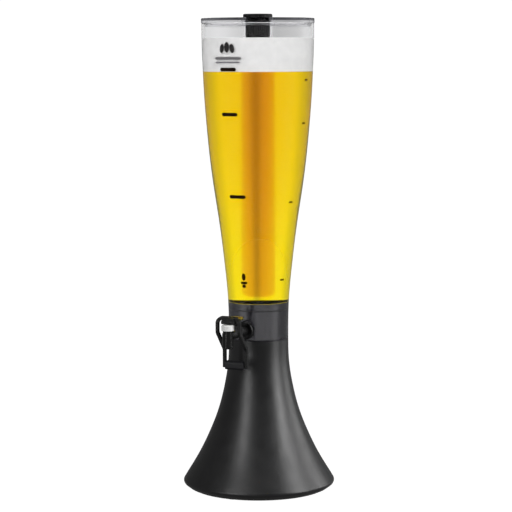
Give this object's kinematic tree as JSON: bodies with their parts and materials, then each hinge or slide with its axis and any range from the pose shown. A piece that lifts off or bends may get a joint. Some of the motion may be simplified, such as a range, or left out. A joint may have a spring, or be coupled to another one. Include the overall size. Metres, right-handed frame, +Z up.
{
  "type": "beer tap tower",
  "caption": "Free-standing table-top drinks tower: flared weighted base, clear waisted container with ice tube, lid and push-lever tap.",
  "frame": {"origin": "on the table, under the middle of the base", "axes": "+Z up along the tower's axis, tap facing -Y, +X to the right of someone facing the tap"},
  "size_m": [0.1904, 0.192, 0.595],
  "materials": {
    "base_black": "satin black moulded plastic",
    "base_plate_black": "matt black moulded plastic",
    "weight": "cast disc",
    "foot_rubber": "matt rubber",
    "seal_rubber": "matt rubber",
    "steel": "bright steel",
    "clear": "clear polished plastic",
    "smoke_clear": "smoky translucent plastic",
    "cup_black": "gloss black plastic",
    "cap_black": "gloss black plastic",
    "tap_black": "gloss black plastic",
    "pad_black": "soft matt black",
    "button_white": "gloss white plastic",
    "valve_white": "white plastic"
  },
  "bodies": {
    "base": {"base_shell": "base_black", "base_bottom_plate": "base_plate_black", "ballast_disc": "weight", "rubber_feet": "foot_rubber", "base_screws": "steel"},
    "reservoir": {"container": "clear", "bottom_cup": "cup_black", "cup_seal_ring": "seal_rubber", "tap_body": "tap_black", "tap_outer_gasket": "seal_rubber", "tap_inner_gasket": "seal_rubber", "tap_nut": "steel", "spout_nozzle": "tap_black", "valve_spring": "steel", "valve_bonnet": "valve_white", "stem_seal": "seal_rubber", "lever_pin": "steel"},
    "lid": {"lid": "smoke_clear", "lid_seal_ring": "seal_rubber"},
    "ice_tube": {"ice_tube": "clear"},
    "ice_tube_cap": {"ice_tube_cap": "cap_black", "cap_seal_ring": "seal_rubber"},
    "lever": {"tap_lever": "tap_black", "push_pad": "pad_black"},
    "plunger": {"push_button": "button_white", "valve_stem": "steel", "valve_poppet": "seal_rubber"}
  },
  "joints": [
    {"name": "reservoir_lift", "type": "slide", "parent": "base", "child": "reservoir", "axis": [0, 0, 1], "range_m": [0, 0.04]},
    {"name": "lid_lift", "type": "slide", "parent": "reservoir", "child": "lid", "axis": [0, 0, 1], "range_m": [0, 0.06]},
    {"name": "ice_tube_lift", "type": "slide", "parent": "lid", "child": "ice_tube", "axis": [0, 0, 1], "range_m": [0, 0.355]},
    {"name": "cap_lift", "type": "slide", "parent": "ice_tube", "child": "ice_tube_cap", "axis": [0, 0, 1], "range_m": [0, 0.05]},
    {"name": "lever_push", "type": "hinge", "parent": "reservoir", "child": "lever", "pos_m": [0, -0.074, 0.2185], "axis": [1, 0, 0], "range_deg": [0, 12], "stiffness_Nm_per_rad": 0.18, "springref_deg": -15.47},
    {"name": "button_press", "type": "slide", "parent": "reservoir", "child": "plunger", "axis": [0, 0, -1], "range_m": [0, 0.0032], "deforming": ["valve_spring"]}
  ],
  "couplings": [
    {"joint": "button_press", "follows": "lever_push", "m_per_rad": 0.015}
  ]
}
